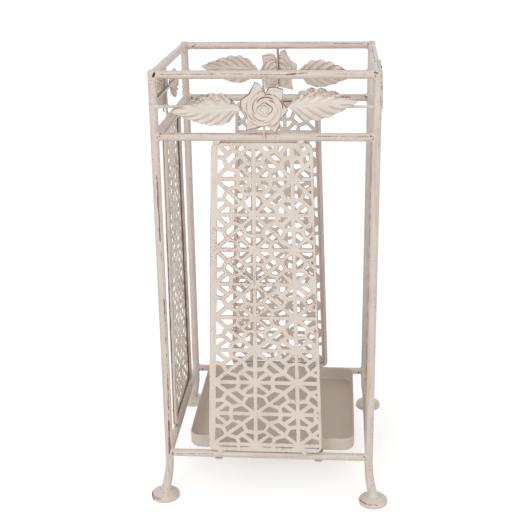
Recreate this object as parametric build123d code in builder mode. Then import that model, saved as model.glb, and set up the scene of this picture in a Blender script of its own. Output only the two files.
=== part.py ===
from build123d import *
import os
from math import asin, cos, hypot, pi, radians, sin, sqrt

# Umbrella stand: a square frame of welded round tube on four disc feet, with a lattice panel, a rose
# and two leaves on every side, and a loose drip tray.
# Millimetres, +Z up, origin on the floor at the middle of the stand, front side towards -Y.

# Frame: tube sizes, and the heights of the rail axes above the floor. The frieze hangs from the top rail.
post_spacing = 240.0
post_diameter = 9.5
post_wall = 1.2
post_cap = 2.0
rail_diameter = 9.0
rail_wall = 1.2
base_rail_height = 57.0
top_rail_height = 512.0
frieze_drop = 67.0
post_top_rise = 0.8
post_top_rounding = 3.0

# Legs and feet: the posts bend outwards along the diagonal below the base rail, and thicken to the feet
leg_flare = 8.5
leg_bend_gap = 1.5
leg_foot_diameter = 11.4
leg_stations = 4
foot_diameter = 34.0
foot_thickness = 9.0
foot_rim_thickness = 5.0
foot_seat_diameter = 14.0
foot_top_rounding = 2.8
foot_bottom_rounding = 1.6

# Side panels: a bent wire loop, wider at the bottom, with a perforated sheet on its outer face. The front
# one is welded on a little left of the middle.
panel_top_width = 110.5
panel_bottom_width = 136.0
panel_gap = 1.0
front_panel_shift = 3.5
loop_diameter = 4.6
loop_corner_radius = 6.0
sheet_thickness = 1.0
sheet_clearance = 0.05
sheet_reach = 2.0

# Star lattice of the sheet: columns across the loop, rows of stars down it. The insets and rises place
# its first column and its end rows, and the margins bound its openings, all from the loop's axis.
lattice_columns = 2.5
lattice_rows = 9
lattice_strip = 4.7
first_column_inset = 3.2
first_row_rise = 2.6
last_row_rise = 7.2
margin_left = 3.8
margin_right = 1.2
margin_top = 1.8
margin_bottom = 3.4
smallest_hole = 2.0

# Tack welds between the loop and the rails, measured from the middle of the panel
weld_diameter = 7.0
weld_top_reach = 45.5
weld_bottom_reach = 51.0

# Frieze: one wire across, one stem up, a rose and two leaves on every side
wire_diameter = 3.0
wire_clearance = 0.05
stem_top_drop = 2.0
leaf_length = 75.0
leaf_width = 33.0
leaf_start = 25.0
leaf_tilt = 3.0
leaf_thickness = 1.0
leaf_bow_radius = 60.0
leaf_teeth = 6
leaf_tooth_depth = 1.6
leaf_blunt = 1.2

# Rose: one pressed sheet, with pointed lobes round it and tiers of petals raised towards a bud. A tier is
# its radius, its number of petals and the turn of the first one.
lobe_count = 6
lobe_turn = 110.0
lobe_tip_radius = 28.0
lobe_side_radius = 25.0
lobe_side_angle = 15.0
lobe_valley_radius = 18.0
rose_thickness = 1.0
petal_tiers = ((17.6, 5, 0.0), (12.8, 5, 36.0), (8.2, 3, 20.0))
petal_valley_share = 0.9
tier_rise = 0.8
bud_radius = 4.0
bud_rounding = 0.6

# Drip tray, lying loose a little right of the middle, and the two strips that carry it
tray_width = 201.0
tray_height = 17.5
tray_shift = 2.5
tray_corner_radius = 14.0
tray_bottom_rounding = 4.5
tray_sheet = 1.2
tray_seat_clearance = 0.2
strip_width = 10.0
strip_thickness = 2.0
strip_reach = 60.0
strip_overlap = 3.5

# Worked out from the sizes above
half_spacing = post_spacing / 2
frieze_rail_height = top_rail_height - frieze_drop
post_radius = post_diameter / 2
rail_radius = rail_diameter / 2
loop_radius = loop_diameter / 2
wire_radius = wire_diameter / 2
post_top = top_rail_height + rail_radius + post_top_rise
wire_height = (top_rail_height + frieze_rail_height) / 2
loop_top = frieze_rail_height - rail_radius - panel_gap - loop_radius
loop_bottom = base_rail_height + rail_radius + panel_gap + loop_radius
loop_top_half = panel_top_width / 2 - loop_radius
loop_bottom_half = panel_bottom_width / 2 - loop_radius
sheet_setting = loop_radius + sheet_clearance
wire_setting = rail_radius - wire_radius
stem_setting = rail_radius + wire_clearance + wire_radius
rose_setting = stem_setting + wire_radius + wire_clearance
strip_top = base_rail_height - rail_radius

# The front side's own plane: x to the right and y up as seen from outside, z pointing outwards
front_plane = Plane(origin=(0, -half_spacing, 0), x_dir=(1, 0, 0), z_dir=(0, -1, 0))

# A quarter turn carries the front side, or the front left corner, to the next one
sides = {"front": 0, "right": 90, "back": 180, "left": 270}
corners = {"front_left": 0, "front_right": 90, "back_right": 180, "back_left": 270}

os.makedirs("parts", exist_ok=True)


def write(piece, name):
    piece.label = name
    export_step(piece, f"parts/{name}.step")


def write_round(piece, name, places):
    for place, turn in places.items():
        write(piece.rotate(Axis.Z, turn), f"{name}_{place}")


def write_panel(piece, name):
    for side, turn in sides.items():
        shift = front_panel_shift if side == "front" else 0
        write(piece.moved(Location((-shift, 0, 0))).rotate(Axis.Z, turn), f"{name}_{side}")


def polar(radius, angle):
    return (radius * cos(radians(angle)), radius * sin(radians(angle)))


# Corner posts

leg_bend_start = base_rail_height - rail_radius - leg_bend_gap
leg_drop = leg_bend_start - foot_thickness
leg_bend_radius = (leg_flare**2 + leg_drop**2) / (2 * leg_flare)
leg_bend_angle = asin(leg_drop / leg_bend_radius)
leg_tail = leg_foot_diameter

corner_plane = Plane(origin=(-half_spacing, -half_spacing, 0), x_dir=(-1, -1, 0), z_dir=(-1, 1, 0))


def leg_point(angle):
    return (leg_bend_radius * (1 - cos(angle)), leg_bend_start - leg_bend_radius * sin(angle))


leg_end = leg_point(leg_bend_angle)
leg_tail_end = (leg_end[0] + leg_tail * sin(leg_bend_angle), leg_end[1] - leg_tail * cos(leg_bend_angle))


def leg_plane(point, angle):
    """Plane square to the leg's axis where that axis has turned by an angle from the upright."""
    along = corner_plane.x_dir * sin(angle) - corner_plane.y_dir * cos(angle)
    return Plane(origin=corner_plane.from_local_coords(point), z_dir=along)


with BuildPart() as post:
    with BuildSketch(Plane(origin=(-half_spacing, -half_spacing, leg_bend_start))):
        Circle(post_radius)
    extrude(amount=post_top - leg_bend_start)
    fillet(post.faces().sort_by(Axis.Z)[-1].edges(), post_top_rounding)
    for station in range(leg_stations):
        share = station / (leg_stations - 1)
        angle = share * leg_bend_angle
        with BuildSketch(leg_plane(leg_point(angle), angle)):
            Circle(post_radius + share * (leg_foot_diameter / 2 - post_radius))
    with BuildSketch(leg_plane(leg_tail_end, leg_bend_angle)):
        Circle(leg_foot_diameter / 2)
    loft()
    with BuildLine(corner_plane) as bore_axis:
        Line((0, post_top - post_cap), (0, leg_bend_start))
        ThreePointArc((0, leg_bend_start), leg_point(leg_bend_angle / 2), leg_end)
        Line(leg_end, leg_tail_end)
    with BuildSketch(Plane(origin=(-half_spacing, -half_spacing, post_top - post_cap))):
        Circle(post_radius - post_wall)
    sweep(path=bore_axis.wire(), mode=Mode.SUBTRACT)
    split(bisect_by=Plane.XY.offset(foot_thickness), keep=Keep.TOP)

write_round(post.part, "post", corners)

# Feet

foot_radius = foot_diameter / 2
foot_offset = half_spacing + leg_flare / sqrt(2)
foot_plane = Plane(origin=(-foot_offset, -foot_offset, 0), x_dir=(-1, -1, 0), z_dir=(-1, 1, 0))

with BuildPart() as foot:
    with BuildSketch(foot_plane) as foot_profile:
        with BuildLine():
            Polyline(
                (0, 0),
                (foot_radius, 0),
                (foot_radius, foot_rim_thickness),
                (foot_seat_diameter / 2, foot_thickness),
                (0, foot_thickness),
                close=True,
            )
        make_face()
        rim_corners = foot_profile.vertices().group_by(Axis.X)[-1].sort_by(Axis.Y)
        fillet(rim_corners[-1], foot_top_rounding)
        fillet(rim_corners[0], foot_bottom_rounding)
    revolve(axis=Axis((-foot_offset, -foot_offset, 0), (0, 0, 1)))

write_round(foot.part, "foot", corners)

# Rails: coped to the posts, and mitred where two of them meet behind a post


def make_rail(height):
    with BuildPart() as rail:
        with BuildSketch(Plane(origin=(-half_spacing, -half_spacing, height), z_dir=(1, 0, 0))):
            Circle(rail_radius)
            Circle(rail_radius - rail_wall, mode=Mode.SUBTRACT)
        extrude(amount=post_spacing)
        with BuildSketch(Plane(origin=(0, -half_spacing, height - rail_diameter))):
            with BuildLine():
                Polyline(
                    (-half_spacing, 0),
                    (-half_spacing + rail_diameter, -rail_diameter),
                    (half_spacing - rail_diameter, -rail_diameter),
                    (half_spacing, 0),
                    (half_spacing - rail_diameter, rail_diameter),
                    (-half_spacing + rail_diameter, rail_diameter),
                    close=True,
                )
            make_face()
        extrude(amount=2 * rail_diameter, mode=Mode.INTERSECT)
        with Locations((-half_spacing, -half_spacing, height), (half_spacing, -half_spacing, height)):
            Cylinder(post_radius, 2 * rail_diameter, mode=Mode.SUBTRACT)
    return rail.part


write_round(make_rail(top_rail_height), "top_rail", sides)
write_round(make_rail(frieze_rail_height), "frieze_rail", sides)
write_round(make_rail(base_rail_height), "base_rail", sides)

# Panel loops: half of the loop is swept from the bottom middle to the top middle, then mirrored

with BuildPart() as loop:
    with BuildLine(front_plane) as loop_axis:
        FilletPolyline(
            (0, loop_bottom),
            (loop_bottom_half, loop_bottom),
            (loop_top_half, loop_top),
            (0, loop_top),
            radius=loop_corner_radius,
        )
    with BuildSketch(Plane(origin=(0, -half_spacing, loop_bottom), z_dir=(1, 0, 0))):
        Circle(loop_radius)
    sweep(path=loop_axis.wire())
    mirror(about=Plane.YZ)

write_panel(loop.part, "panel_loop")

# Panel sheets: outlines are lists of corners, counter-clockwise as seen from outside


def edges_of(outline):
    return zip(outline, outline[1:] + outline[:1])


def area_of(outline):
    return sum(ax * by - bx * ay for (ax, ay), (bx, by) in edges_of(outline)) / 2


def inset(outline, distance):
    """Move every edge of a convex outline inwards and return the new corners."""
    moved = []
    for (ax, ay), (bx, by) in edges_of(outline):
        run, rise = bx - ax, by - ay
        shift = distance / hypot(run, rise)
        moved.append((ax - rise * shift, ay + run * shift, run, rise))
    found = []
    for (px, py, prun, prise), (qx, qy, qrun, qrise) in zip(moved[-1:] + moved[:-1], moved):
        along = ((qx - px) * qrise - (qy - py) * qrun) / (prun * qrise - prise * qrun)
        found.append((px + along * prun, py + along * prise))
    return found


def clip(outline, region):
    """Keep what lies of a convex outline inside a convex region."""
    for (ax, ay), (bx, by) in edges_of(region):
        kept = []
        depths = [(bx - ax) * (y - ay) - (by - ay) * (x - ax) for x, y in outline]
        for (start, end), (depth, next_depth) in zip(edges_of(outline), edges_of(depths)):
            if depth >= 0:
                kept.append(start)
            if depth * next_depth < 0:
                share = depth / (depth - next_depth)
                kept.append(tuple(s + share * (e - s) for s, e in zip(start, end)))
        outline = kept
        if len(outline) < 3:
            return []
    return outline


loop_outline = [
    (-loop_bottom_half, loop_bottom),
    (loop_bottom_half, loop_bottom),
    (loop_top_half, loop_top),
    (-loop_top_half, loop_top),
]
opening_outline = [
    (margin_left - loop_bottom_half, loop_bottom + margin_bottom),
    (loop_bottom_half - margin_right, loop_bottom + margin_bottom),
    (loop_top_half - margin_right, loop_top - margin_top),
    (margin_left - loop_top_half, loop_top - margin_top),
]
first_row = loop_top + first_row_rise
row_pitch = (first_row - loop_bottom - last_row_rise) / lattice_rows

# One cell of the lattice, between two ringed stars at (0, 0) and (1, 1) and two plain stars at the
# other corners. These five openings lie on one side of the bar that joins the plain stars.
ring_on_axis = 0.39
ring_long, ring_short = 0.44, 0.21
ring_on_diagonal = (ring_long + ring_short) / 2
bar_long, bar_short = 0.69, 0.31
cell_half = (
    ((0, 0), (ring_on_axis, 0), (ring_long, ring_short), (ring_on_diagonal, ring_on_diagonal)),
    ((0, 0), (ring_on_diagonal, ring_on_diagonal), (ring_short, ring_long), (0, ring_on_axis)),
    ((ring_on_axis, 0), (1, 0), (bar_long, bar_short), (ring_long, ring_short)),
    ((0, ring_on_axis), (ring_short, ring_long), (bar_short, bar_long), (0, 1)),
    ((ring_long, ring_short), (bar_long, bar_short), (bar_short, bar_long), (ring_short, ring_long)),
)
cell_other_half = tuple(tuple((1 - y, 1 - x) for x, y in opening) for opening in cell_half)


def lattice_point(column, row):
    """Place on the panel of a point that is given in columns from the left and rows from the top."""
    height = first_row - row * row_pitch
    share = (loop_top - height) / (loop_top - loop_bottom)
    half = loop_top_half + share * (loop_bottom_half - loop_top_half)
    start = first_column_inset - half
    return (start + (half - start) * column / lattice_columns, height)


def lattice_holes():
    holes = []
    for row in range(lattice_rows + 1):
        for column in range(int(lattice_columns) + 1):
            turned = (row + column) % 2
            for opening in cell_half + cell_other_half:
                placed = [(1 - x if turned else x, y) for x, y in opening]
                outline = [lattice_point(column + x, row + y) for x, y in placed]
                if area_of(outline) < 0:
                    outline.reverse()
                outline = clip(inset(outline, lattice_strip / 2), opening_outline)
                if outline and area_of(outline) > smallest_hole:
                    holes.append(Polygon(*outline, align=None))
    return holes


net_holes = lattice_holes()

with BuildPart() as sheet:
    with BuildSketch(front_plane.offset(sheet_setting)) as net:
        with BuildLine():
            Polyline(*inset(loop_outline, -sheet_reach), close=True)
        make_face()
        fillet(net.vertices(), loop_corner_radius + sheet_reach)
        add(net_holes, mode=Mode.SUBTRACT)
    extrude(amount=sheet_thickness)

print(f"openings in a panel sheet: {len(net_holes)}")
write_panel(sheet.part, "panel_sheet")

# Tack welds: beads in the gaps between loop and rails, four to a panel, kept clear of the sheet

weld_places = (
    (-weld_top_reach, frieze_rail_height - rail_radius - panel_gap / 2),
    (weld_top_reach, frieze_rail_height - rail_radius - panel_gap / 2),
    (-weld_bottom_reach, base_rail_height + rail_radius + panel_gap / 2),
    (weld_bottom_reach, base_rail_height + rail_radius + panel_gap / 2),
)

with BuildPart() as welds:
    with Locations(*((x, -half_spacing, z) for x, z in weld_places)):
        Sphere(weld_diameter / 2)
    with Locations(*((0, -half_spacing, z) for z in (frieze_rail_height, base_rail_height))):
        Cylinder(rail_radius, post_spacing, rotation=(0, 90, 0), mode=Mode.SUBTRACT)
    with Locations(*((0, -half_spacing, z) for z in (loop_top, loop_bottom))):
        Cylinder(loop_radius, post_spacing, rotation=(0, 90, 0), mode=Mode.SUBTRACT)
    with Locations((0, -half_spacing - loop_radius, (loop_top + loop_bottom) / 2)):
        Box(
            post_spacing,
            weld_diameter,
            loop_top - loop_bottom + 2 * (sheet_reach + sheet_clearance),
            align=(Align.CENTER, Align.MAX, Align.CENTER),
            mode=Mode.SUBTRACT,
        )

write_panel(welds.part, "panel_welds")

# Frieze wires: coped to the posts, in line with the fronts of the rails

wire_start = (-half_spacing, -half_spacing - wire_setting, wire_height)

with BuildPart() as wire:
    with BuildSketch(Plane(origin=wire_start, z_dir=(1, 0, 0))):
        Circle(wire_radius)
    extrude(amount=post_spacing)
    with Locations((-half_spacing, -half_spacing, wire_height), (half_spacing, -half_spacing, wire_height)):
        Cylinder(post_radius, 2 * post_diameter, mode=Mode.SUBTRACT)

write_round(wire.part, "frieze_wire", sides)

# Stem wires: upright across the front of the frieze wire, lapped onto both rails

stem_length = top_rail_height - stem_top_drop - frieze_rail_height

with BuildPart() as stem:
    with BuildSketch(Plane(origin=(0, -half_spacing - stem_setting, frieze_rail_height))):
        Circle(wire_radius)
    extrude(amount=stem_length)

write_round(stem.part, "stem_wire", sides)

# Roses: outlines lie in planes square to the rose's axis, and each tier is hollow from behind


def outline_plane(setting):
    return Plane(origin=(0, -half_spacing - setting, wire_height), x_dir=(1, 0, 0), z_dir=(0, -1, 0))


def petal_face(setting, radius, petals, turn):
    """A round of petals that bulge between shared valleys."""
    step = 360 / petals
    valley_radius = petal_valley_share * radius
    with BuildSketch(outline_plane(setting)) as face:
        with BuildLine():
            for petal in range(petals):
                middle = turn + petal * step
                ThreePointArc(
                    polar(valley_radius, middle - step / 2),
                    polar(radius, middle),
                    polar(valley_radius, middle + step / 2),
                )
        make_face()
    return face.sketch


lobe_step = 360 / lobe_count
rose_front = rose_setting + rose_thickness

with BuildPart() as rose:
    with BuildSketch(outline_plane(rose_setting)):
        with BuildLine():
            for lobe in range(lobe_count):
                middle = lobe_turn + lobe * lobe_step
                for hand in (-1, 1):
                    ThreePointArc(
                        polar(lobe_valley_radius, middle + hand * lobe_step / 2),
                        polar(lobe_side_radius, middle + hand * lobe_side_angle),
                        polar(lobe_tip_radius, middle),
                    )
        make_face()
    extrude(amount=rose_thickness)
    for tier, (radius, petals, turn) in enumerate(petal_tiers):
        extrude(petal_face(rose_front + tier * tier_rise, radius, petals, turn), amount=tier_rise)
    with BuildSketch(outline_plane(rose_front + len(petal_tiers) * tier_rise)):
        Circle(bud_radius)
    extrude(amount=tier_rise)
    fillet(rose.faces().sort_by(Axis.Y)[0].edges(), bud_rounding)
    for tier, (radius, petals, turn) in enumerate(petal_tiers):
        hollow = petal_face(rose_setting, radius - rose_thickness, petals, turn)
        extrude(hollow, amount=(tier + 1) * tier_rise, mode=Mode.SUBTRACT)

write_round(rose.part, "rose", sides)

# Leaves: a bowed sheet, hollow towards the frieze wire, cut to a toothed outline. The left leaf is made
# and half a turn about the rose's axis gives the right one.

leaf_wire_offset = (leaf_start + leaf_length) * sin(radians(leaf_tilt))
leaf_bow_drop = leaf_bow_radius - sqrt(leaf_bow_radius**2 - leaf_wire_offset**2)
leaf_setting = wire_setting + wire_radius + wire_clearance + leaf_bow_drop
leaf_run = (-cos(radians(leaf_tilt)), -sin(radians(leaf_tilt)))
leaf_across = (-leaf_run[1], leaf_run[0])
leaf_direction = Vector(leaf_run[0], 0, leaf_run[1])
leaf_origin = Vector(0, -half_spacing - leaf_setting, wire_height)
leaf_section = Plane(
    origin=leaf_origin + leaf_direction * leaf_start,
    x_dir=Vector(0, -1, 0).cross(leaf_direction),
    z_dir=leaf_direction,
)


def leaf_half_width(share):
    """Half width at a share of the length from the base, widest a little over a third of the way."""
    return leaf_width / 2 * sin(pi * share**0.7) ** 0.75


def leaf_point(share, half_width, hand):
    along = leaf_start + share * leaf_length
    return tuple(along * run + hand * half_width * across for run, across in zip(leaf_run, leaf_across))


def leaf_edge(hand):
    """Teeth along one edge, from the base to the tip, each leaning towards the tip."""
    points = [leaf_point(0, leaf_blunt, hand)]
    for tooth in range(leaf_teeth):
        notch_share = (tooth + 0.15) / leaf_teeth
        peak_share = (tooth + 0.8) / leaf_teeth
        depth = min(leaf_tooth_depth, leaf_half_width(notch_share) / 4)
        points.append(leaf_point(notch_share, leaf_half_width(notch_share) - depth, hand))
        points.append(leaf_point(peak_share, leaf_half_width(peak_share), hand))
    return points


leaf_bow_outer = leaf_bow_radius + leaf_thickness

with BuildPart() as leaf:
    with BuildSketch(leaf_section):
        with Locations((0, -leaf_bow_radius)):
            Circle(leaf_bow_outer)
            Circle(leaf_bow_radius, mode=Mode.SUBTRACT)
        Rectangle(
            1.2 * leaf_width,
            leaf_bow_radius,
            align=(Align.CENTER, Align.CENTER),
            mode=Mode.INTERSECT,
        )
    extrude(amount=leaf_length)
    with BuildSketch(outline_plane(leaf_setting)):
        with BuildLine():
            tip = leaf_point(1, 0, 1)
            Polyline(*leaf_edge(1), tip, *reversed(leaf_edge(-1)), close=True)
        make_face()
    extrude(amount=leaf_bow_radius, both=True, mode=Mode.INTERSECT)

rose_axis = Axis(outline_plane(rose_setting).origin, (0, -1, 0))
leaf_right = leaf.part.rotate(rose_axis, 180)

for side, turn in sides.items():
    write(leaf.part.rotate(Axis.Z, turn), f"leaf_{side}_left")
    write(leaf_right.rotate(Axis.Z, turn), f"leaf_{side}_right")

# Strips that carry the tray: welded under the front and back base rails, with rounded ends

strip_length = post_spacing + 2 * strip_overlap

for hand, name in ((-1, "left"), (1, "right")):
    with BuildPart() as strip:
        with BuildSketch(Plane.XY.offset(strip_top - strip_thickness)):
            with Locations((hand * strip_reach, 0)):
                RectangleRounded(strip_width, strip_length, strip_width / 2 - wire_clearance)
        extrude(amount=strip_thickness)
    write(strip.part, f"tray_strip_{name}")

# Drip tray: a pressed pan with rounded corners, open at the top

tray_bottom = strip_top + tray_seat_clearance

with BuildPart() as tray:
    with BuildSketch(Plane.XY.offset(tray_bottom)):
        with Locations((tray_shift, 0)):
            RectangleRounded(tray_width, tray_width, tray_corner_radius)
    extrude(amount=tray_height)
    fillet(tray.faces().sort_by(Axis.Z)[0].edges(), tray_bottom_rounding)
    offset(amount=-tray_sheet, openings=tray.faces().sort_by(Axis.Z)[-1])

write(tray.part, "drip_tray")
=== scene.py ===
from math import cos, exp, pi, radians, sin, sqrt

import bmesh
import bpy
from mathutils import Matrix, Vector, noise


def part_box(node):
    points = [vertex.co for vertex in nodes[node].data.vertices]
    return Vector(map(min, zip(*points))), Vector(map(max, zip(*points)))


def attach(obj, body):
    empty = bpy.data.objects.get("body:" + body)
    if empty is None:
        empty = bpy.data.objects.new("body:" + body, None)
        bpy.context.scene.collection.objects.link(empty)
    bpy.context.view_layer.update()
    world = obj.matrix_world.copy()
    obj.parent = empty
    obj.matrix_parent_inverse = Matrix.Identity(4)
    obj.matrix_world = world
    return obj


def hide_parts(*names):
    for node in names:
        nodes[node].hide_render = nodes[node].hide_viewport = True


# Looks of the umbrella stand: distressed cream paint, pressed roses and leaves, and weld beads,
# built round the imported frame. Metres, +Z up, front side towards -Y.

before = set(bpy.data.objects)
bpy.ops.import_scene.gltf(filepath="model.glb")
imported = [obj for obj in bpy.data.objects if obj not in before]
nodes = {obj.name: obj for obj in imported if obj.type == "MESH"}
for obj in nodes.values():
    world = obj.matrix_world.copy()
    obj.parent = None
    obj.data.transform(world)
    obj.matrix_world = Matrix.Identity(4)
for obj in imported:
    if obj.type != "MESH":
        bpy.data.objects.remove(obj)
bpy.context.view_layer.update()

MM = 0.001
SIDES = {"front": 0, "right": 90, "back": 180, "left": 270}
CORNERS = {"front_left": 0, "front_right": 90, "back_right": 180, "back_left": 270}
LEVELS = ("top", "frieze", "base")

# Camera of the photograph
IMAGE_WIDTH = 515
FOCAL_PIXELS = 1023.8
SENSOR_WIDTH = 36.0
CAMERA_PLACE = Vector((0.0792, -1.2038, 0.6810))
CAMERA_YAW = -4.69
CAMERA_PITCH = 18.96
CAMERA_ROLL = -0.83

# Paint colours, linear
CREAM = (0.750, 0.672, 0.602, 1)
CREAM_WARM = (0.700, 0.608, 0.530, 1)
CREAM_SHADE = (0.600, 0.502, 0.422, 1)
RED_BROWN = (0.330, 0.125, 0.110, 1)
DARK_BROWN = (0.055, 0.026, 0.023, 1)
# Painted shade colour, multiplied in at crevices found by ambient occlusion and in the grooves of pressed
# pieces
CREVICE_SHADE = (0.560, 0.460, 0.380, 1)

# Rubbed lines seen on the frame: start and end in millimetres, radius, and strength about 1. The table
# of the posts also has those of the stems.
POST_RUBS = (
    ((-118.9, -124.7, 408), (-118.9, -124.7, 395), 1.2, 1.1),
    ((-118.9, -124.7, 395), (-118.2, -124.4, 327), 1.6, 1.35),
    ((-118.2, -124.4, 327), (-117.2, -123.9, 256), 0.9, 0.9),
    ((-117.2, -123.9, 256), (-117.1, -123.9, 240), 1.6, 1.2),
    ((-117.1, -123.9, 240), (-117.3, -124.0, 165), 1.0, 1.0),
    ((-117.3, -124.0, 165), (-118.2, -124.5, 100), 1.3, 1.1),
    ((-118.2, -124.5, 100), (-118.5, -124.6, 80), 1.9, 1.4),
    ((-118.5, -124.6, 80), (-118.8, -124.7, 58), 2.8, 1.5),
    ((123.3, -123.4, 512), (123.3, -123.4, 480), 0.8, 1.0),
    ((122.4, -124.1, 470), (122.4, -124.1, 430), 0.7, 1.0),
    ((-0.4, -127.4, 508), (-0.4, -127.4, 492), 1.1, 1.25),
    ((1.0, -127.0, 453), (1.0, -127.0, 446), 1.0, 1.2),
    ((0.8, 124.8, 509), (0.9, 124.8, 462), 1.4, 1.3),
)
LOOP_RUBS = (
    ((-121.8, -61.2, 235), (-121.8, -64.0, 150), 1.3, 1.35),
    ((-121.8, -57.9, 330), (-121.8, -61.2, 235), 0.9, 1.0),
)
RAIL_RUBS = (
    ((24, -124.4, 512.7), (34, -124.1, 513.8), 1.6, 1.4),
    ((34, -124.1, 513.8), (46, -124.0, 514.3), 1.0, 1.2),
    ((-111, -124.3, 513.2), (-60, -124.3, 513.4), 0.8, 1.2),
    ((-60, -124.3, 513.4), (-33, -124.3, 513.4), 0.8, 1.05),
    ((-33, -124.3, 513.4), (24, -124.4, 512.8), 0.8, 1.15),
    ((-112, -122.4, 448.8), (-22, -122.4, 448.8), 0.8, 1.1),
    ((-22, -122.4, 448.8), (-3, -122.4, 448.8), 1.1, 1.35),
    ((-3, -122.4, 448.8), (16, -122.4, 448.8), 1.0, 1.1),
    ((50, -124.2, 446.6), (112, -124.2, 446.4), 0.8, 1.15),
    ((-111, -124.3, 57.9), (-66, -124.2, 58.6), 0.9, 1.1),
    ((-110, 119.0, 516.3), (-71, 119.0, 516.3), 0.9, 1.0),
    ((-71, 119.0, 516.3), (-41, 119.0, 516.3), 1.3, 1.4),
    ((-41, 119.0, 516.3), (71, 118.4, 516.2), 0.9, 1.1),
    ((71, 116.4, 514.6), (108, 115.8, 513.6), 1.0, 1.3),
    ((-104, 116.6, 509.1), (20, 116.6, 509.1), 0.8, 1.1),
)
SIDE_RAIL_RUBS = (
    ((-121.4, -105, 516.2), (-121.4, -55, 516.2), 0.9, 1.0),
    ((-121.4, -55, 516.2), (-121.4, 40, 516.2), 1.3, 1.15),
    ((-121.2, 40, 516.2), (-121.2, 112, 516.2), 0.9, 1.1),
    ((121.6, -108, 516.2), (121.6, -40, 516.2), 1.1, 1.1),
    ((118.6, -60, 516.2), (118.8, 112, 516.3), 1.0, 1.05),
)
# Rubs round the rims of the feet: corner of the stand, start and end in degrees, radius and strength
FOOT_RUBS = (
    ((-1, -1), 183, 206, 2.4, 1.4),
    ((-1, -1), 206, 235, 1.6, 1.25),
    ((-1, -1), 235, 262, 1.4, 1.1),
    ((1, -1), 188, 212, 1.6, 1.4),
    ((1, -1), 212, 242, 1.3, 1.3),
    ((1, -1), 250, 284, 1.2, 1.3),
    ((-1, 1), 240, 275, 1.6, 1.3),
    ((1, 1), 290, 330, 1.5, 1.2),
)
FOOT_RUB_INSET = 0.7 * MM
FOOT_RUB_HEIGHT = 4.9 * MM
# Pits and dark lines: start and end in millimetres, and radius
PITS = (
    ((-116.6, -124.2, 514.2), (-117.9, -124.3, 510.9), 1.6),
    ((116.5, -123.6, 514.7), (116.5, -123.6, 514.7), 1.2),
    ((118.7, -124.4, 514.1), (118.7, -124.4, 514.1), 1.2),
    ((117.0, -124.2, 510.7), (117.0, -124.2, 510.7), 0.9),
    ((113.8, -124.0, 446.9), (113.8, -124.0, 446.9), 1.2),
    ((115.6, -124.2, 443.6), (115.6, -124.2, 443.6), 0.9),
    ((-113.4, -122.2, 449.0), (-113.4, -122.2, 449.0), 1.2),
    ((-113.8, -124.2, 446.4), (-113.8, -124.2, 446.4), 1.0),
    ((-114.5, -125.0, 481.2), (-113.2, -125.0, 480.2), 1.0),
    ((-122.6, -124.0, 481.5), (-122.6, -124.0, 481.5), 1.0),
    ((-114.6, -124.0, 62.6), (-113.8, -124.2, 60.0), 1.1),
    ((-115.8, -124.2, 58.4), (-114.8, -124.2, 57.0), 0.9),
    ((115.2, -124.0, 60.6), (114.4, -124.0, 59.4), 0.9),
    ((-105.6, 115.7, 513.4), (-105.6, 115.7, 513.4), 0.9),
    ((-108.6, 115.7, 511.4), (-107.0, 115.7, 511.6), 0.8),
    ((115.4, 115.8, 513.6), (115.4, 115.8, 513.6), 1.1),
    ((-112.0, 115.7, 445.4), (-112.0, 115.7, 445.4), 1.5),
    ((113.6, 115.8, 446.5), (113.6, 115.8, 446.5), 1.5),
    ((-110.0, 115.6, 57.5), (-110.0, 115.6, 57.5), 1.3),
    ((111.5, 115.6, 57.0), (111.5, 115.6, 57.0), 1.3),
    ((-140.2, -134.2, 4.4), (-138.2, -138.2, 1.6), 1.3),
)
# Painted shadow line on the inner face of the left frieze wire, where it runs behind the leaves: start and
# end in millimetres, and radius
SIDE_WIRE_SHADOW_LINES = (((-123.2, -114, 480.0), (-123.2, 12, 480.0), 1.0),)
# Zones of the front sheet with more wear along the cut edges: start and end in millimetres, and radius
SHEET_ZONES = (
    ((-45, -123, 335), (-15, -123, 285), 62),
    ((-45, -123, 240), (-20, -123, 235), 40),
    ((50, -123, 405), (58, -123, 230), 20),
)


# Places that the frame gives


def middle(node):
    low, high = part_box(node)
    return (low + high) / 2


def half_height(node):
    low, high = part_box(node)
    return (high.z - low.z) / 2


HALF_SPACING = -middle("top_rail_front").y
POST_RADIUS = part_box("post_front_left")[1].x + HALF_SPACING
RAIL_RADIUS = half_height("top_rail_front")
RAIL_HEIGHTS = {level: middle(f"{level}_rail_front").z for level in LEVELS}
WIRE_HEIGHT = middle("frieze_wire_front").z
WIRE_SETTING = -HALF_SPACING - middle("frieze_wire_front").y
STEM_SETTING = -HALF_SPACING - middle("stem_wire_front").y
ROSE_BACK = -HALF_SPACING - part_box("rose_front")[1].y
LEAF_FRONT = -HALF_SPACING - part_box("leaf_front_left")[0].y
FOOT_CENTRE = middle("foot_back_right").x
FOOT_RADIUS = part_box("foot_back_right")[1].x - FOOT_CENTRE


def foot_rub(corner, start, end, radius, strength):
    """A rub along a part of the upper rim of one foot."""
    centre = FOOT_CENTRE * Vector((*corner, 0))
    ends = []
    for degrees in (start, end):
        turn = radians(degrees)
        around = (FOOT_RADIUS - FOOT_RUB_INSET) * Vector((cos(turn), sin(turn), 0))
        ends.append(tuple((centre + around + Vector((0, 0, FOOT_RUB_HEIGHT))) / MM))
    return (*ends, radius, strength)


FOOT_RIM_RUBS = tuple(foot_rub(*rub) for rub in FOOT_RUBS)


def side_matrix(turn, setting=0.0, height=0.0):
    """Frame of one side: x to the right, y up and z outwards, as seen from outside."""
    front = Matrix(
        ((1, 0, 0, 0), (0, 0, -1, -HALF_SPACING - setting), (0, 1, 0, height), (0, 0, 0, 1))
    )
    return Matrix.Rotation(radians(turn), 4, "Z") @ front


# Shader graphs


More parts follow.
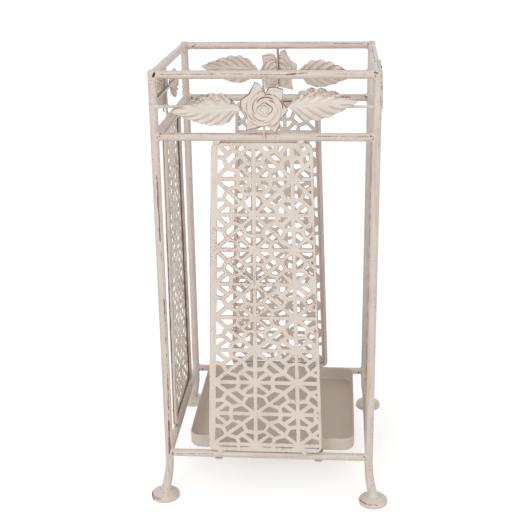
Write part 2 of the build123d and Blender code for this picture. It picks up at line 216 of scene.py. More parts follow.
class Graph:
    """A node tree with short calls: every method takes values or sockets and returns a socket."""

    def __init__(self, owner):
        owner.use_nodes = True
        self.tree = owner.node_tree
        self.tree.nodes.clear()

    def node(self, kind, sockets=None, **settings):
        made = self.tree.nodes.new(kind)
        for name, value in settings.items():
            setattr(made, name, value)
        for key, value in (sockets or {}).items():
            self.feed(made.inputs[key], value)
        return made

    def feed(self, socket, value):
        if isinstance(value, bpy.types.NodeSocket):
            self.tree.links.new(value, socket)
        else:
            socket.default_value = value

    def math(self, operation, a, b=0.0):
        return self.node("ShaderNodeMath", {0: a, 1: b}, operation=operation).outputs[0]

    def vector(self, operation, a, b):
        return self.node("ShaderNodeVectorMath", {0: a, 1: b}, operation=operation).outputs

    def ramp(self, value, start, end):
        """0 below start, 1 above end, and smooth between them."""
        sockets = {"Value": value, "From Min": start, "From Max": end}
        return self.node("ShaderNodeMapRange", sockets, interpolation_type="SMOOTHSTEP").outputs[0]

    def mix(self, share, a, b, blend="MIX"):
        made = self.node("ShaderNodeMix", {0: share, 6: a, 7: b}, data_type="RGBA", blend_type=blend)
        return made.outputs[2]

    def noise(self, place, seed, scale, detail=2.0, roughness=0.5):
        sockets = {"Vector": place, "W": seed, "Scale": scale, "Detail": detail, "Roughness": roughness}
        return self.node("ShaderNodeTexNoise", sockets, noise_dimensions="4D").outputs[0]

    def stretched(self, place, scale):
        return self.node("ShaderNodeMapping", {"Vector": place, "Scale": scale}).outputs[0]

    def shaken(self, place, seed, scale, size):
        """Places moved about a little, so that lines drawn on them waver."""
        sockets = {"Vector": place, "W": seed, "Scale": scale, "Detail": 1.0}
        moves = self.node("ShaderNodeTexNoise", sockets, noise_dimensions="4D").outputs["Color"]
        moves = self.vector("SUBTRACT", moves, (0.5, 0.5, 0.5))[0]
        moves = self.vector("MULTIPLY", moves, (size, size, size))[0]
        return self.vector("ADD", place, moves)[0]

    def near_line(self, place, start, end, radius, core=0.25):
        """1 within a core share of the radius from a line, falling to 0 at the radius.

        The line and the radius are in millimetres."""
        start, end = Vector(start) * MM, Vector(end) * MM
        run = end - start
        offset = self.vector("SUBTRACT", place, tuple(start))[0]
        along = self.vector("DOT_PRODUCT", offset, tuple(run / max(run.length_squared, 1e-12)))["Value"]
        along = self.node("ShaderNodeClamp", {"Value": along}).outputs[0]
        sockets = {0: tuple(run), "Scale": along}
        nearest = self.node("ShaderNodeVectorMath", sockets, operation="SCALE").outputs[0]
        distance = self.vector("DISTANCE", offset, nearest)["Value"]
        return self.ramp(distance, radius * MM, radius * core * MM)

    def most(self, values):
        """The largest of several values."""
        found = values[0]
        for value in values[1:]:
            found = self.math("MAXIMUM", found, value)
        return found

    def finish(self, shader, kind="ShaderNodeOutputMaterial"):
        self.tree.links.new(shader.outputs[0], self.node(kind).inputs["Surface"])


STREAK_SCALE = {"X": (0.03, 1, 1), "Y": (1, 0.03, 1), "Z": (1, 1, 0.03)}
RUB_WAVE = 2.0 * MM
RUB_WAVE_SCALE = 70.0
EDGE_REACH = 0.8 * MM
CREVICE_REACH = 5 * MM


def paint(
    name,
    streak_axis=None,
    edges=0.5,
    specks=0.3,
    tone=0.0,
    upward_shade=0.0,
    crevices=0.5,
    gloss=0.0,
    zones=(),
    rubs=(),
    pits_and_shadow_lines=(),
):
    """Brushed cream paint, rubbed through to red-brown along edges, in streaks and in specks.

    Pieces made here may carry two values on their points: wear adds rubbed places on the outer face,
    and groove adds painted shade in hollows. Faces that look up are darkened as painted shade, and
    crevices found by ambient occlusion get painted shade too. Zones of more wear, rubs, pits and
    painted shadow lines are at known places of the frame."""
    material = bpy.data.materials.new(name)
    graph = Graph(material)
    coordinates = graph.node("ShaderNodeTexCoord").outputs
    place = coordinates["Object"]
    seed = graph.math("MULTIPLY", graph.node("ShaderNodeObjectInfo").outputs["Random"], 9.0)

    mottle = graph.noise(place, seed, 38.0, 3.0)
    brushed = graph.noise(place, seed, 330.0, 3.0, 0.6)
    patches = graph.noise(place, seed, 30.0, 2.0)
    grit = graph.noise(place, seed, 620.0, 3.0, 0.65)
    fine = graph.noise(place, seed, 950.0, 1.5)
    dashes = graph.noise(place, seed, 150.0)

    cream = graph.mix(graph.ramp(mottle, 0.40, 0.72), CREAM, CREAM_WARM)
    cream = graph.mix(graph.math("MULTIPLY", graph.ramp(brushed, 0.50, 0.74), 0.35), cream, CREAM_SHADE)
    if tone:
        cream = graph.mix(tone, cream, CREAM_SHADE)

    # Painted shade: faces that look up are darkened towards the shade cream
    if upward_shade:
        normal = graph.node("ShaderNodeNewGeometry").outputs["Normal"]
        level = graph.ramp(graph.vector("DOT_PRODUCT", normal, (0, 0, 1))["Value"], 0.4, 0.9)
        cream = graph.mix(graph.math("MULTIPLY", level, upward_shade), cream, CREAM_SHADE)
    within = graph.node("ShaderNodeAmbientOcclusion", {"Distance": EDGE_REACH}, samples=6, inside=True)
    sharpness = graph.math("SUBTRACT", 1.0, within.outputs["AO"])
    uneven = graph.math("ADD", grit, graph.math("MULTIPLY", patches, 0.9))
    spots = fine
    if zones:
        zone = graph.most([graph.near_line(place, *zone) for zone in zones])
        uneven = graph.math("ADD", uneven, graph.math("MULTIPLY", zone, 0.25))
        spots = graph.math("ADD", fine, graph.math("MULTIPLY", graph.math("SUBTRACT", zone, 0.5), 0.08))
    rubbed = graph.math("MULTIPLY", graph.ramp(sharpness, 0.08, 0.30), graph.ramp(uneven, 0.98, 1.14))
    speckled = graph.math("MULTIPLY", graph.ramp(spots, 0.60, 0.70), graph.ramp(patches, 0.42, 0.58))
    wear = [graph.math("MULTIPLY", rubbed, edges), graph.math("MULTIPLY", speckled, specks)]

    if streak_axis:
        along = graph.stretched(place, STREAK_SCALE[streak_axis])
        lines = graph.noise(along, seed, 430.0, 3.0, 0.6)
        stretches = graph.noise(along, seed, 90.0, 1.0)
        faint = graph.math("MULTIPLY", graph.ramp(lines, 0.53, 0.66), 0.26)
        broken = graph.ramp(stretches, 0.52, 0.64)
        strong = graph.math("MULTIPLY", graph.ramp(lines, 0.62, 0.70), broken)
        wear += [faint, graph.math("MULTIPLY", strong, 0.85)]

    wavy = graph.shaken(place, seed, RUB_WAVE_SCALE, RUB_WAVE) if rubs else place
    for start, end, radius, strength in rubs:
        near = graph.math("MULTIPLY", graph.near_line(wavy, start, end, radius), strength)
        patchy = graph.math("ADD", near, graph.math("ADD", graph.math("MULTIPLY", dashes, 1.6), grit))
        wear.append(graph.math("MULTIPLY", graph.ramp(patchy, 2.05, 2.45), 0.9))

    facing = graph.vector("DOT_PRODUCT", coordinates["Normal"], (0, 0, 1))["Value"]
    own = graph.node("ShaderNodeAttribute", attribute_name="wear").outputs["Fac"]
    own = graph.math("MULTIPLY", own, graph.ramp(facing, -0.6, -0.1))
    flaked = graph.ramp(graph.math("ADD", grit, own), 0.86, 0.98)
    wear.append(graph.math("MULTIPLY", flaked, graph.ramp(own, 0.0, 0.6)))
    worn = graph.most(wear)

    bare = graph.mix(graph.ramp(dashes, 0.46, 0.68), RED_BROWN, DARK_BROWN)
    colour = graph.mix(worn, cream, bare)
    # Painted shade: ambient occlusion darkens crevices, and the groove value darkens hollows, towards the
    # crevice shade colour
    around = graph.node("ShaderNodeAmbientOcclusion", {"Distance": CREVICE_REACH}, samples=4)
    crevice_shade = graph.math("MULTIPLY", graph.ramp(around.outputs["AO"], 0.75, 0.25), crevices)
    groove = graph.node("ShaderNodeAttribute", attribute_name="groove").outputs["Fac"]
    colour = graph.mix(graph.most([crevice_shade, groove]), colour, CREVICE_SHADE, "MULTIPLY")
    # Dark pits, and painted shadow lines along a wire
    if pits_and_shadow_lines:
        hollow = graph.most([graph.near_line(place, *pit, core=0.6) for pit in pits_and_shadow_lines])
        colour = graph.mix(hollow, colour, DARK_BROWN)

    height = graph.math("ADD", mottle, graph.math("MULTIPLY", brushed, 0.5))
    height = graph.math("SUBTRACT", height, graph.math("MULTIPLY", worn, 0.6))
    bump = graph.node("ShaderNodeBump", {"Strength": 0.35, "Distance": 0.35 * MM, "Height": height})
    sockets = {
        "Base Color": colour,
        "Roughness": graph.math("ADD", 0.36 - 0.1 * gloss, graph.math("MULTIPLY", worn, 0.3)),
        "Specular IOR Level": 0.45 + 0.2 * gloss,
        "Normal": bump.outputs[0],
    }
    graph.finish(graph.node("ShaderNodeBsdfPrincipled", sockets))
    return material


# crevices sets how strongly ambient occlusion paints shade into crevices
TUBE = {"edges": 0.4, "specks": 0.8, "tone": 0.25, "crevices": 0.3}
FOOT = {"edges": 0.4, "specks": 0.6, "tone": 0.15, "crevices": 0.3}

PAINTS = {
    "along_x": paint("paint_along_x", "X", **TUBE, rubs=RAIL_RUBS, pits_and_shadow_lines=PITS),
    "along_y": paint("paint_along_y", "Y", **TUBE, rubs=SIDE_RAIL_RUBS, pits_and_shadow_lines=SIDE_WIRE_SHADOW_LINES),
    "along_z": paint("paint_along_z", "Z", **TUBE, rubs=POST_RUBS, pits_and_shadow_lines=PITS),
    "foot": paint("paint_foot", **FOOT, rubs=FOOT_RIM_RUBS, pits_and_shadow_lines=PITS),
    "loop": paint("paint_loop", "Z", edges=0.5, specks=0.8, tone=0.15, crevices=1.0, rubs=LOOP_RUBS),
    "sheet": paint("paint_sheet", edges=1.0, specks=1.0, crevices=0.9, zones=SHEET_ZONES),
    "pressed": paint("paint_pressed", edges=0.2, specks=0.3, gloss=1.0),
    "weld": paint("paint_weld", edges=0.1, specks=0.5, tone=0.1, crevices=0.0, pits_and_shadow_lines=PITS),
    # The seam's darker tone and crevice darkening are painted shade in the gap under the rail
    "seam": paint("paint_seam", edges=0.0, specks=0.3, tone=0.5, crevices=0.3),
    # The tray's floor is darkened as painted shade
    "tray": paint("paint_tray", edges=0.35, specks=0.1, tone=0.15, upward_shade=1.0),
}


# Meshes


def make_piece(name, mesh, matrix, finish, node_names=()):
    """Put a finished mesh in its place and tie it to the frame."""
    piece = bpy.data.objects.new(name, mesh)
    bpy.context.scene.collection.objects.link(piece)
    piece.matrix_world = matrix
    mesh.materials.clear()
    mesh.materials.append(PAINTS[finish])
    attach(piece, "frame")
    if node_names:
        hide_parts(*node_names)
    return piece


def mesh_from(name, points, faces, **values):
    """Mesh with smooth shading; each further value is a list of numbers, one to a point."""
    mesh = bpy.data.meshes.new(name)
    mesh.from_pydata([tuple(point) for point in points], [], faces)
    for value_name, numbers in values.items():
        mesh.attributes.new(value_name, "FLOAT", "POINT").data.foreach_set("value", numbers)
    mesh.shade_smooth()
    mesh.validate()
    return mesh


def grid_faces(rows, columns, first=0, closed=False):
    """Faces of a grid of points stored row after row.

    A closed grid joins its last column to its first."""
    faces = []
    for row in range(rows - 1):
        here = first + row * columns
        there = here + columns
        for column in range(columns if closed else columns - 1):
            following = (column + 1) % columns
            faces.append((here + column, here + following, there + following, there + column))
    return faces


def smooth_step(value, start, end):
    share = min(max((value - start) / (end - start), 0.0), 1.0)
    return share * share * (3 - 2 * share)


def bell(value, width):
    return exp(-((value / width) ** 2))


def thicken(piece, thickness):
    """Give a pressed sheet its thickness towards the inside."""
    solid = piece.modifiers.new("thickness", "SOLIDIFY")
    solid.thickness = thickness
    solid.offset = -1.0


# Leaves: puffed between slanting veins and bowed backwards, with a scalloped edge. Tables go by the hand
# of the leaf, -1 for left and 1 for right, and by its half, -1 for lower and 1 for upper.

LEAF_LENGTH = 75 * MM
LEAF_WIDTH = 36 * MM
LEAF_START = 25 * MM
LEAF_TILT = {-1: 3.0, 1: 4.2}
LEAF_DROP = {-1: 0.0, 1: 1.0 * MM}
LEAF_BOW = 60 * MM
LEAF_LIFT = 0.8 * MM
LEAF_THICKNESS = 0.9 * MM
LEAF_FLUTES = 6.2
LEAF_FLUTE_CURVE = 1.15
LEAF_FLUTE_POWER = 0.7
LEAF_STAGGER = 0.3
LEAF_SLANT = {(-1, -1): 2.1, (-1, 1): 1.3, (1, -1): 1.8, (1, 1): 1.9}
LEAF_FLUTE_HEIGHT = 2.2 * MM
LEAF_SCALLOP = {-1: 0.06, 1: 0.18}
LEAF_CREASE_DEPTH = 0.5 * MM
LEAF_CREASE_WIDTH = 1.3 * MM
LEAF_LIP = 0.7 * MM
LEAF_NECK = 0.55
LEAF_NECK_REACH = 0.22
LEAF_FIRST, LEAF_LAST = 0.012, 0.995
LEAF_PLAIN_START, LEAF_PLAIN_TIP = 0.18, 0.22
# Painted shade in the valleys between the flutes
LEAF_GROOVE_SHADE = 0.4
LEAF_WEAR = {-1: 0.5, 1: 1.2}
LEAF_WEAR_MOST = 0.40
LEAF_BORDER_WEAR = {-1: 0.0, 1: 0.10}
LEAF_ROWS = 150
LEAF_COLUMNS = 61


def leaf_half_width(share):
    """Half the width at a share of the way to the tip; the leaf narrows to a neck at the rose."""
    neck = LEAF_NECK + (1 - LEAF_NECK) * smooth_step(share, 0.0, LEAF_NECK_REACH)
    return LEAF_WIDTH / 2 * neck * max(sin(pi * share**0.7), 0.0)


def leaf_mesh(hand):
    """Leaf in the frame of a side about the rose's axis; z is measured from the front of its crest."""
    points, wear, groove = [], [], []
    for row in range(LEAF_ROWS):
        share = LEAF_FIRST + (LEAF_LAST - LEAF_FIRST) * row / (LEAF_ROWS - 1)
        ends = smooth_step(share, 0.0, LEAF_PLAIN_START) * smooth_step(1 - share, 0.0, LEAF_PLAIN_TIP)
        for column in range(LEAF_COLUMNS):
            side = 2 * column / (LEAF_COLUMNS - 1) - 1
            reach = abs(side)
            half = 1 if side > 0 else -1
            slant = LEAF_SLANT[hand, half] * reach**LEAF_FLUTE_CURVE
            phase = share * LEAF_FLUTES - slant + LEAF_STAGGER * half
            flute = abs(sin(pi * phase)) ** LEAF_FLUTE_POWER
            edge = 1 - LEAF_SCALLOP[half] * (1 - flute) * reach**3 * ends
            across = side * leaf_half_width(share) * edge
            along = LEAF_START + share * LEAF_LENGTH
            bow = LEAF_BOW - sqrt(LEAF_BOW**2 - across**2)
            shaped = smooth_step(reach, 0.04, 0.45) * ends
            crease = LEAF_CREASE_DEPTH * bell(across, LEAF_CREASE_WIDTH) * smooth_step(1 - share, 0.1, 0.8)
            lip = LEAF_LIP * smooth_step(reach, 0.82, 1.0) * ends * (0.4 + 0.6 * flute)
            height = lip - LEAF_FLUTE_HEIGHT * (1 - flute) * shaped - bow - crease
            points.append((hand * along, across, height))
            # Painted shade, deepest in the valleys between the flutes
            groove.append(LEAF_GROOVE_SHADE * (1 - flute) ** 1.6 * shaped)
            rim = smooth_step(reach, 0.15, 0.75) * (0.6 + 0.4 * flute)
            rubbed = 0.50 + 0.30 * noise.noise(Vector((share * 16, side * 3.0, 3.7 + hand)))
            border = LEAF_BORDER_WEAR[half] * smooth_step(reach, 0.92, 1.0)
            wear.append(min(LEAF_WEAR[half] * rim * rubbed, LEAF_WEAR_MOST) + border)
    mesh = mesh_from("leaf", points, grid_faces(LEAF_ROWS, LEAF_COLUMNS), wear=wear, groove=groove)
    if hand > 0:
        mesh.flip_normals()
    mesh.transform(Matrix.Rotation(radians(LEAF_TILT[hand]), 4, "Z"))
    return mesh


def make_leaves():
    for hand, sign in (("left", -1), ("right", 1)):
        mesh = leaf_mesh(sign)
        for side, turn in SIDES.items():
            node_name = f"leaf_{side}_{hand}"
            place = side_matrix(turn, LEAF_FRONT + LEAF_LIFT, WIRE_HEIGHT - LEAF_DROP[sign])
            name = f"{node_name}_pressing"
            piece = make_piece(name, mesh, place, "pressed", [node_name])
            thicken(piece, LEAF_THICKNESS)


# Roses: one pressed sheet with uneven pointed lobes and rounds of overlapping petals

ROSE_THICKNESS = 0.9 * MM
ROSE_SHIFT = Vector((0.8 * MM, -2.0 * MM, 0))
ROSE_ROWS = 104
ROSE_COLUMNS = 288
# Corners of the outline, each as angle in degrees and radius in millimetres
ROSE_OUTLINE = (
    (-3, 25.0),
    (17, 21.0),
    (30, 21.5),
    (47, 29.5),
    (65, 26.5),
    (78, 23.5),
    (84, 18.5),
    (90, 17.5),
    (100, 27.7),
    (110, 31.0),
    (122, 26.0),
    (135, 23.4),
    (158, 27.4),
    (173, 26.0),
    (197, 20.6),
    (214, 22.4),
    (228, 31.0),
    (245, 22.5),
    (275, 17.6),
    (294, 28.4),
    (310, 24.5),
    (324, 20.0),
    (357, 25.0),
)
# Rounds of petals from the outside in: radius, turn of the first and half span in degrees, step, and the
# wear of each petal
ROSE_ROUNDS = (
    (18.6 * MM, 118, 50, 1.1 * MM, (0.6, 0.6, 0.3, 0.7, 1.0)),
    (13.2 * MM, 92, 50, 1.0 * MM, (1.0, 0.7, 0.6, 0.4, 0.9)),
    (7.4 * MM, 50, 110, 0.8 * MM, (0.9, 0.7)),
    (3.9 * MM, 160, 110, 0.6 * MM, (0.7, 0.3)),
)
PETAL_SPIRAL = 0.13
PETAL_TUCK = 0.10
PETAL_FADE = 0.25
PETAL_EDGE = 0.6 * MM
PETAL_SLOPE = 0.6
PETAL_REACH = 4.5 * MM
PETAL_LINE = 0.6 * MM
BUD_SQUARE = 0.10
BUD_CORNERS = 4
BUD_TURN = 0.6
BUD_REACH = 8 * MM
LOBE_START, LOBE_END = 15 * MM, 26 * MM
LOBE_WAVES = 6
LOBE_WAVE_LEAN = 30
LOBE_WAVE_HEIGHT = 0.6 * MM
LOBE_DROOP = 0.6 * MM
LOBE_DROOP_START = 0.80
ROSE_RIM_START = 0.93
# Painted shade in the hollow just outside each petal's rim
ROSE_GROOVE_SHADE = 0.42


def rose_radius(angle):
    """Outline radius at an angle, along straight edges between the corners."""
    first = ROSE_OUTLINE[0][0]
    degrees = (angle * 180 / pi - first) % 360 + first
    for (start, near), (end, far) in zip(ROSE_OUTLINE, ROSE_OUTLINE[1:]):
        if degrees <= end:
            before, after = sin(radians(degrees - start)), sin(radians(end - degrees))
            return near * far * sin(radians(end - start)) / (near * before + far * after) * MM


def round_relief(radius, angle, petal_round):
    """Height, wear and groove that one round of petals adds at a place of the rose."""
    rim, turn, half_span, step, petals = petal_round
    height, wear, groove = 0.0, 0.0, 0.0
    for number, rubbed in enumerate(petals):
        off = (angle * 180 / pi - turn - number * 360 / len(petals) + 180) % 360 - 180
        if abs(off) > half_span:
            continue
        share = off / half_span
        square = 1 + BUD_SQUARE * cos(BUD_CORNERS * angle - BUD_TURN) if rim < BUD_REACH else 1
        inside = rim * square * (1 - PETAL_SPIRAL * share - PETAL_TUCK * share**4) - radius
        fade = smooth_step(1 - abs(share), 0.0, PETAL_FADE)
        rise = smooth_step(inside, 0.0, PETAL_EDGE) * fade
        sink = PETAL_SLOPE * smooth_step(inside, PETAL_EDGE, PETAL_REACH)
        height = max(height, step * rise * (1 - sink))
        wear = max(wear, rubbed * bell(inside - PETAL_EDGE / 2, PETAL_LINE) * fade)
        # Painted shade just outside the rim of the petal
        groove = max(groove, bell(inside + PETAL_EDGE / 2, PETAL_LINE) * fade)
    return height, wear, groove


def rose_point(share, angle):
    """Radius, height, wear and groove at a share of the way from the rose's axis to its outline."""
    radius = share * rose_radius(angle)
    lobe = smooth_step(radius, LOBE_START, LOBE_END)
    wave = LOBE_WAVE_HEIGHT * sin(LOBE_WAVES * angle + LOBE_WAVE_LEAN * share)
    height = lobe * (wave - LOBE_DROOP * smooth_step(share, LOBE_DROOP_START, 1.0))
    wear = smooth_step(share, ROSE_RIM_START, 1.0)
    groove = 0.0
    for petal_round in ROSE_ROUNDS:
        more, rubbed, hollow = round_relief(radius, angle, petal_round)
        height += more
        wear = max(wear, rubbed)
        groove = max(groove, hollow)
    return radius, height, wear, groove


def rose_mesh():
    """Rose about its axis; z is measured from the front of the flat sheet round the petals."""
    points, wear, groove = [], [], []
    for row in range(ROSE_ROWS):
        share = (0.01 + 0.99 * row / (ROSE_ROWS - 1)) ** 0.9
        for column in range(ROSE_COLUMNS):
            angle = 2 * pi * column / ROSE_COLUMNS
            radius, height, rubbed, hollow = rose_point(share, angle)
            place = Vector((radius * cos(angle), radius * sin(angle), height))
            points.append(place + ROSE_SHIFT)
            patch = 0.75 + 0.9 * noise.noise(place * 110)
            wear.append(rubbed * min(max(patch, 0.2), 1.0))
            groove.append(ROSE_GROOVE_SHADE * hollow)
    faces = grid_faces(ROSE_ROWS, ROSE_COLUMNS, closed=True)
    faces.append(tuple(reversed(range(ROSE_COLUMNS))))
    mesh = mesh_from("rose", points, faces, wear=wear, groove=groove)
    mesh.flip_normals()
    return mesh


def make_roses():
    mesh = rose_mesh()
    for side, turn in SIDES.items():
        place = side_matrix(turn, ROSE_BACK + ROSE_THICKNESS, WIRE_HEIGHT)
        node_name = f"rose_{side}"
        name = f"{node_name}_pressing"
        piece = make_piece(name, mesh, place, "pressed", [node_name])
        thicken(piece, ROSE_THICKNESS)


# Welds: hollow fillets round the tube ends, and lumps where wires and panels are tacked on

WELD_UNEVENNESS = 0.3
FILLET_DENT = 3.0 * MM
FILLET_LEAST = 0.02
BLOB_DENT = 2.5 * MM
BLOB_CAP = 0.02


class Lumps:
    """Collects fillets and blobs of weld metal into one mesh."""

    def __init__(self, seed):
        self.points = []
        self.faces = []
        self.seed = seed

    def uneven(self, place, size):
        return noise.noise(place / size + Vector((self.seed, 2.3, 5.1)))

    def fillet(self, corner_line, size, sink=0.5 * MM, arc_steps=6):
        """A hollow corner weld round a closed line of corners.

        Each corner is its place, the directions along the two surfaces that meet there, and its share
        of the size. The section dips below both surfaces."""
        first = len(self.points)
        for corner, run, rise, share in corner_line + corner_line[:1]:
            reach = size * share * (1 + WELD_UNEVENNESS * self.uneven(corner, FILLET_DENT))
            section = [(-sink, -sink), (reach, -sink)]
            for step in range(arc_steps + 1):
                turn = pi / 2 * step / arc_steps
                section.append((reach * (1 - sin(turn)), reach * (1 - cos(turn))))
            section.append((-sink, reach))
            self.points += [corner + a * run + b * rise for a, b in section]
        self.faces += grid_faces(len(corner_line) + 1, len(section), first, closed=True)

    def blob(self, centre, sizes, rings=12, sectors=18):
        """A rounded lump with a dented surface."""
        first = len(self.points)
        centre = Vector(centre)
        for ring in range(rings + 1):
            fall = pi * (BLOB_CAP + (1 - 2 * BLOB_CAP) * ring / rings)
            for sector in range(sectors):
                turn = 2 * pi * sector / sectors
                way = (sin(fall) * cos(turn), sin(fall) * sin(turn), cos(fall))
                offset = Vector([size * part for size, part in zip(sizes, way)])
                swell = 1 + WELD_UNEVENNESS * self.uneven(centre + offset, BLOB_DENT)
                self.points.append(centre + offset * swell)
        self.faces += grid_faces(rings + 1, sectors, first, closed=True)
        self.faces.append(tuple(range(first, first + sectors)))
        last = first + rings * sectors
        self.faces.append(tuple(range(last, last + sectors)))

    def bar(self, ends, height, depth, sectors=12):
        """A rounded strip between two places."""
        first = len(self.points)
        for end in ends:
            for sector in range(sectors):
                turn = 2 * pi * sector / sectors
                offset = Vector((0, height / 2 * sin(turn), depth / 2 * cos(turn)))
                self.points.append(Vector(end) + offset)
        self.faces += grid_faces(2, sectors, first, closed=True)
        self.faces.append(tuple(range(first, first + sectors)))
        self.faces.append(tuple(range(first + sectors, first + 2 * sectors)))

    def piece(self, name, place, finish, node_names=()):
        """Close the mesh, set it in its place and make one piece of it."""
        made = mesh_from(name, self.points, self.faces)
        made.transform(place)
        shell = bmesh.new()
        shell.from_mesh(made)
        bmesh.ops.remove_doubles(shell, verts=shell.verts, dist=0.001 * MM)
        bmesh.ops.recalc_face_normals(shell, faces=shell.faces)
        shell.to_mesh(made)
        shell.free()
        make_piece(name, made, Matrix(), finish, node_names)


RAIL_FILLET = 2.6 * MM
FILLET_STEPS = 48


def rail_corner(height, hand, level):
    """Line round a rail where it meets a post, in the frame of a side; hand is -1 left and 1 right.

    The fillet fades where rail and post run into each other, and stops short of the top of the post."""
    line = []
    for step in range(FILLET_STEPS):
        turn = 2 * pi * step / FILLET_STEPS
        around = Vector((0, sin(turn), cos(turn)))
        out = RAIL_RADIUS * cos(turn)
        inward = sqrt(max(POST_RADIUS**2 - out**2, 0.0))
        corner = Vector((hand * (HALF_SPACING - inward), height, 0)) + RAIL_RADIUS * around
        square = Vector((-hand * inward, 0, out)).normalized()
        rise = (around - square * square.dot(around)).normalized()
        share = max(-sin(turn), 0.0) if level == "top" else abs(sin(turn))
        line.append((corner, Vector((-hand, 0, 0)), rise, max(share, FILLET_LEAST)))
    return line


def make_rail_welds():
    for number, level in enumerate(LEVELS):
        for side, turn in SIDES.items():
            lumps = Lumps(number + turn / 13)
            for hand in (-1, 1):
                lumps.fillet(rail_corner(RAIL_HEIGHTS[level], hand, level), RAIL_FILLET)
            lumps.piece(f"{level}_rail_{side}_welds", side_matrix(turn), "weld")


LEG_FOOT_RADIUS = 5.6 * MM
FOOT_FILLET = 2.8 * MM
FOOT_FALL = 22.0
LEG_LEAN = 12.0


def make_foot_welds():
    """Weld round each leg where it stands on the domed top of its foot."""
    low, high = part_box("foot_front_left")
    centre = Vector(((low.x + high.x) / 2, (low.y + high.y) / 2, high.z))
    lean, fall = radians(LEG_LEAN), radians(FOOT_FALL)
    up_leg = Vector((sin(lean) / sqrt(2), sin(lean) / sqrt(2), cos(lean)))
    line = []
    for step in range(FILLET_STEPS):
        turn = 2 * pi * step / FILLET_STEPS
        around = Vector((cos(turn), sin(turn), 0))
        down_foot = cos(fall) * around - sin(fall) * Vector((0, 0, 1))
        line.append((centre + LEG_FOOT_RADIUS * around, up_leg, down_foot, 1.0))
    for corner, turn in CORNERS.items():
        lumps = Lumps(20 + turn / 13)
        lumps.fillet(line, FOOT_FILLET)
        lumps.piece(f"foot_{corner}_weld", Matrix.Rotation(radians(turn), 4, "Z"), "weld")


PANEL_TACK_PLACES = {"top": (-48.5 * MM, 42.5 * MM), "bottom": (-54.0 * MM, 47.5 * MM)}
PANEL_TACK_SIZES = (4.4 * MM, 3.3 * MM, 3.8 * MM)
PANEL_TACK_SETTING = 1.2 * MM
SEAM_SIZE = (2.6 * MM, 1.6 * MM)
SEAM_SETTING = 1.3 * MM


def make_panel_tacks():
    """Weld lumps between the panels and the rails, and paint that closes the gap above each panel, darker
    as painted shade in the gap.
    """
    low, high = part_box("panel_loop_front")
    gaps = {
        "top": (high.z + RAIL_HEIGHTS["frieze"] - RAIL_RADIUS) / 2,
        "bottom": (low.z + RAIL_HEIGHTS["base"] + RAIL_RADIUS) / 2,
    }
    for side, turn in SIDES.items():
        panel_shift = (Matrix.Rotation(radians(-turn), 3, "Z") @ middle(f"panel_loop_{side}")).x
        lumps = Lumps(40 + turn / 13)
        for end, height in gaps.items():
            for reach in PANEL_TACK_PLACES[end]:
                lumps.blob((panel_shift + reach, height, PANEL_TACK_SETTING), PANEL_TACK_SIZES)
        lumps.piece(f"panel_{side}_tacks", side_matrix(turn), "weld", [f"panel_welds_{side}"])
        seam = Lumps(0)
        ends = [(panel_shift + reach, gaps["top"], SEAM_SETTING) for reach in PANEL_TACK_PLACES["top"]]
        seam.bar(ends, *SEAM_SIZE)
        seam.piece(f"panel_{side}_seam", side_matrix(turn), "seam")


WIRE_TACK_SIZES = (3.0 * MM, 2.6 * MM, 2.3 * MM)
WIRE_TACK_INSET = 3.6 * MM
STEM_TACK_SIZES = (2.2 * MM, 2.6 * MM, 1.8 * MM)
STEM_TACK_SINK = 0.9 * MM
STEM_TACK_RISE = 1.5 * MM
STEM_TACK_DROP = 2.0 * MM


def make_frieze_tacks():
    """Blobs at the ends of the frieze wire and of the stem."""
    low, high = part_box("stem_wire_front")
    for side, turn in SIDES.items():
        lumps = Lumps(60 + turn / 13)
        for hand in (-1, 1):
            reach = hand * (HALF_SPACING - WIRE_TACK_INSET)
            lumps.blob((reach, WIRE_HEIGHT, WIRE_SETTING), WIRE_TACK_SIZES)
        for height in (low.z + STEM_TACK_RISE, high.z - STEM_TACK_DROP):
            lumps.blob((0, height, STEM_SETTING - STEM_TACK_SINK), STEM_TACK_SIZES)
        lumps.piece(f"frieze_{side}_tacks", side_matrix(turn), "weld")


make_leaves()
make_roses()
make_rail_welds()
make_foot_welds()
make_panel_tacks()
make_frieze_tacks()


# Finishes of the pieces that stay as the frame has them


def finish_for(node_name):
    if node_name.startswith(("post_", "stem_wire")):
        return "along_z"
    if node_name.startswith("foot_"):
        return "foot"
    if node_name.startswith("panel_loop"):
        return "loop"
    if node_name.startswith("panel_sheet"):
        return "sheet"
    if node_name.startswith("panel_welds"):
        return "weld"
    if node_name.startswith(("rose_", "leaf_")):
        return "pressed"
    if node_name == "drip_tray":
        return "tray"
    if node_name.startswith("tray_strip") or node_name.endswith(("_left", "_right")):
        return "along_y"
    return "along_x"


for node_name, piece in nodes.items():
    piece.data.materials.clear()
    piece.data.materials.append(PAINTS[finish_for(node_name)])


# Stage, light and camera

WHITE = (1, 1, 1, 1)
FLOOR_COLOUR = (0.80, 0.79, 0.78, 1)
FLOOR_REACH = 6.0
FLOOR_GLOW = 0.48
AMBIENT = 0.69
# Lamps: place and aim in metres, size of the square and power in watts
SOFTBOXES = {
    "key": ((-1.1, -3.2, 2.0), (0, 0, 0.28), 1.8, 35.0),
    "fill": ((2.2, -2.9, 1.3), (0, 0, 0.25), 1.8, 16.0),
}


def seen_directly(graph):
    """1 for what the camera sees, also by reflection or through glass, and 0 for light that spreads."""
    ray = graph.node("ShaderNodeLightPath").outputs
    seen = graph.math("MAXIMUM", ray["Is Camera Ray"], ray["Is Glossy Ray"])
    return graph.math("MAXIMUM", seen, ray["Is Transmission Ray"])


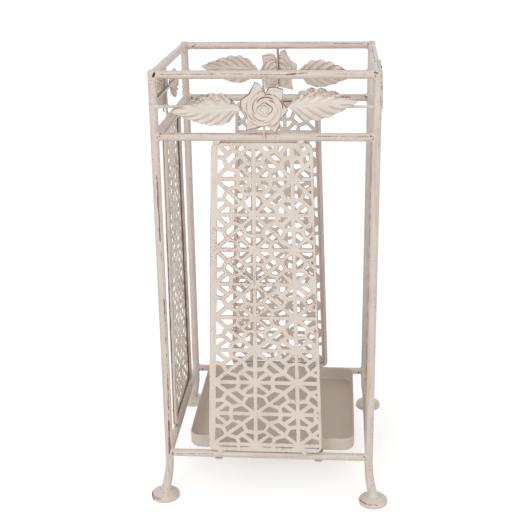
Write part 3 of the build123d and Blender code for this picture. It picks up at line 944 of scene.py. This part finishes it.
def make_floor():
    reach = FLOOR_REACH
    corners = [(-reach, -reach, 0), (reach, -reach, 0), (reach, reach, 0), (-reach, reach, 0)]
    mesh = mesh_from("floor", corners, [(0, 1, 2, 3)])
    floor = bpy.data.objects.new("floor", mesh)
    bpy.context.scene.collection.objects.link(floor)
    material = bpy.data.materials.new("floor_white")
    graph = Graph(material)
    matt = graph.node("ShaderNodeBsdfDiffuse", {"Color": FLOOR_COLOUR})
    strength = graph.math("MULTIPLY", seen_directly(graph), FLOOR_GLOW)
    glow = graph.node("ShaderNodeEmission", {"Color": WHITE, "Strength": strength})
    graph.finish(graph.node("ShaderNodeAddShader", {0: matt.outputs[0], 1: glow.outputs[0]}))
    mesh.materials.append(material)


def make_world():
    world = bpy.data.worlds.new("studio")
    bpy.context.scene.world = world
    graph = Graph(world)
    strength = graph.math("ADD", AMBIENT, graph.math("MULTIPLY", seen_directly(graph), 1 - AMBIENT))
    sky = graph.node("ShaderNodeBackground", {"Color": WHITE, "Strength": strength})
    graph.finish(sky, "ShaderNodeOutputWorld")


def add_softbox(name, place, target, size, power):
    lamp = bpy.data.lights.new(name, "AREA")
    lamp.shape = "SQUARE"
    lamp.size = size
    lamp.energy = power
    softbox = bpy.data.objects.new(name, lamp)
    bpy.context.scene.collection.objects.link(softbox)
    softbox.location = place
    softbox.rotation_euler = (Vector(target) - Vector(place)).to_track_quat("-Z", "Y").to_euler()


def make_camera():
    yaw, pitch, roll = radians(CAMERA_YAW), radians(CAMERA_PITCH), radians(CAMERA_ROLL)
    ahead = Vector((sin(yaw) * cos(pitch), cos(yaw) * cos(pitch), -sin(pitch)))
    level = Vector((cos(yaw), -sin(yaw), 0))
    upright = level.cross(ahead)
    right = level * cos(roll) + upright * sin(roll)
    up = upright * cos(roll) - level * sin(roll)
    lens = bpy.data.cameras.new("photo_camera")
    lens.sensor_width = SENSOR_WIDTH
    lens.lens = FOCAL_PIXELS / IMAGE_WIDTH * SENSOR_WIDTH
    camera = bpy.data.objects.new("photo_camera", lens)
    bpy.context.scene.collection.objects.link(camera)
    turn = Matrix((right, up, -ahead)).transposed().to_4x4()
    camera.matrix_world = Matrix.Translation(CAMERA_PLACE) @ turn
    bpy.context.scene.camera = camera


make_floor()
make_world()
for name, settings in SOFTBOXES.items():
    add_softbox(name, *settings)
make_camera()
bpy.context.scene.view_settings.view_transform = "Standard"
